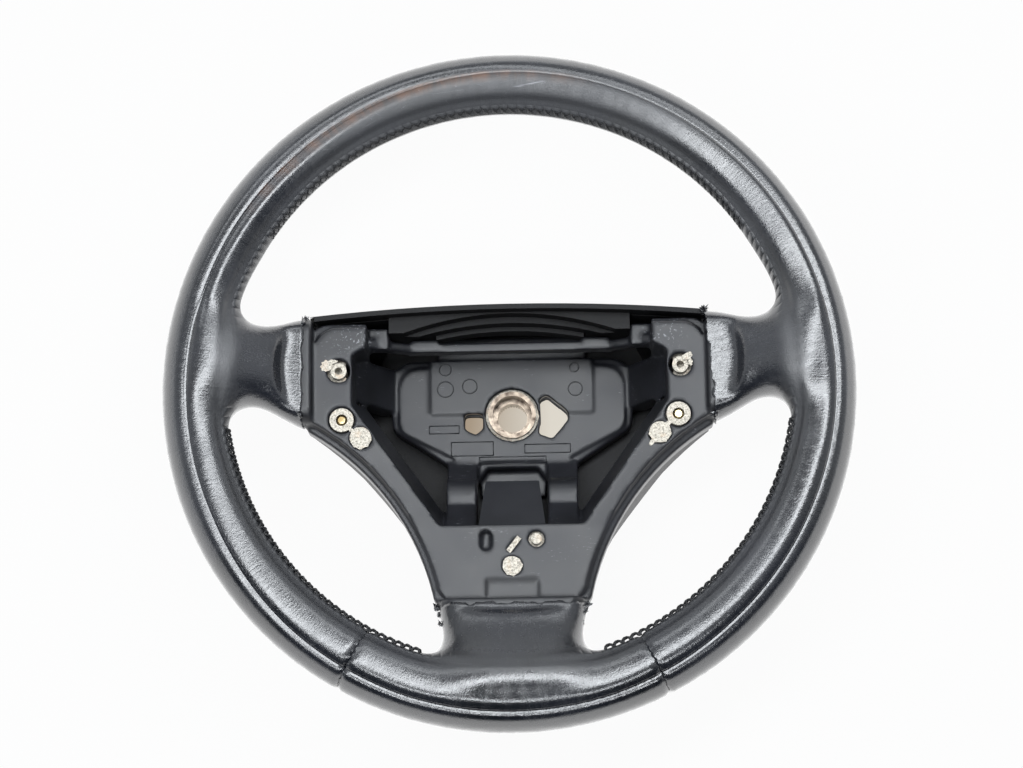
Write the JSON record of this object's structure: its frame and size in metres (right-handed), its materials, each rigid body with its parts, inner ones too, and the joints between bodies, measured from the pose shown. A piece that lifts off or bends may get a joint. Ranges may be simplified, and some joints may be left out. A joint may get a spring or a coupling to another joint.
{
  "type": "car steering wheel without airbag module",
  "caption": "Leather-covered three-spoke car steering wheel with an open foam hub, ready for an airbag module.",
  "frame": {"origin": "on the steering axis, in the plane of the rear cover's collar that the wheel rests on", "axes": "+Z along the steering axis towards the driver, +Y to the top of the wheel, +X to the driver's right"},
  "size_m": [0.385, 0.385, 0.11],
  "materials": {
    "cast_magnesium": "rough as-cast",
    "insert_steel": "machined",
    "hub_foam": "satin moulded polyurethane",
    "rim_leather": "smooth, slightly worn",
    "sewing_thread": "matt",
    "bolt_steel": "plated",
    "retainer_plastic": "moulded",
    "cover_plastic": "fine grained"
  },
  "bodies": {
    "root": {"armature": "cast_magnesium", "hub_insert": "insert_steel", "foam_body": "hub_foam", "leather_upper": "rim_leather", "leather_lower": "rim_leather", "seam_thread_top": "sewing_thread", "seam_thread_left": "sewing_thread", "seam_thread_right": "sewing_thread", "seam_thread_lower_left": "sewing_thread", "seam_thread_lower_right": "sewing_thread", "airbag_bolt_left": "bolt_steel", "airbag_bolt_right": "bolt_steel", "bolt_retainer_left": "retainer_plastic", "bolt_retainer_right": "retainer_plastic", "harness_cover": "cover_plastic", "rear_cover": "cover_plastic", "rear_cover_screws": "bolt_steel"}
  },
  "joints": []
}
